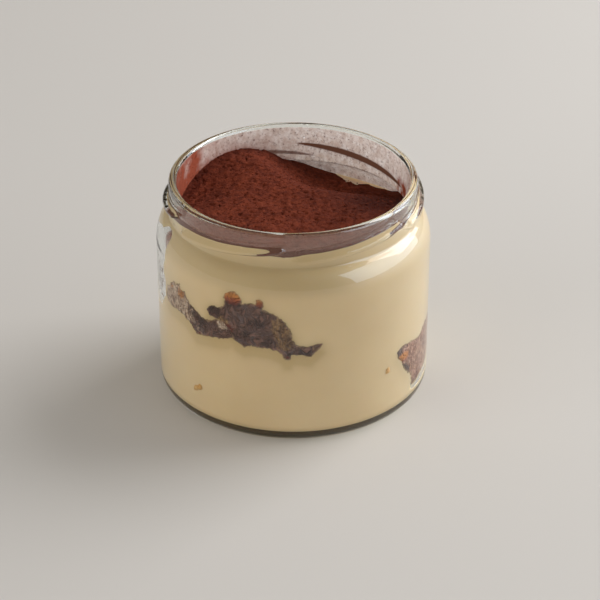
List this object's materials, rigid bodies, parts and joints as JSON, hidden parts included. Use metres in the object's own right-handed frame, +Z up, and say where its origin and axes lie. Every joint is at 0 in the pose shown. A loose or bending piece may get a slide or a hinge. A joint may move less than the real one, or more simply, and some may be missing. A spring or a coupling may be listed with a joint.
{
  "type": "tiramisu in a glass jar",
  "caption": "Tiramisu in a short clear glass jar: pale mascarpone cream with coffee-soaked sponge showing at the wall, dusted with cocoa under the open lip.",
  "frame": {"origin": "centre of the jar's base circle, on the surface the jar stands on", "axes": "+Z up along the jar's axis; -Y is the side a guest sees, with the larger sponge piece at the wall"},
  "size_m": [0.087, 0.087, 0.072],
  "materials": {
    "clear_glass": "clear pressed glass, polished",
    "mascarpone_cream": "smooth whipped cream, pale yellow-beige, slightly glossy",
    "soaked_sponge": "coffee-soaked sponge crumb, dark brown, damp",
    "cocoa_powder": "matte dark red-brown cocoa powder"
  },
  "bodies": {
    "root": {"glass_jar": "clear_glass", "cream": "mascarpone_cream", "sponge_front": "soaked_sponge", "sponge_left": "soaked_sponge", "sponge_right": "soaked_sponge", "cocoa_layer": "cocoa_powder"}
  },
  "joints": []
}
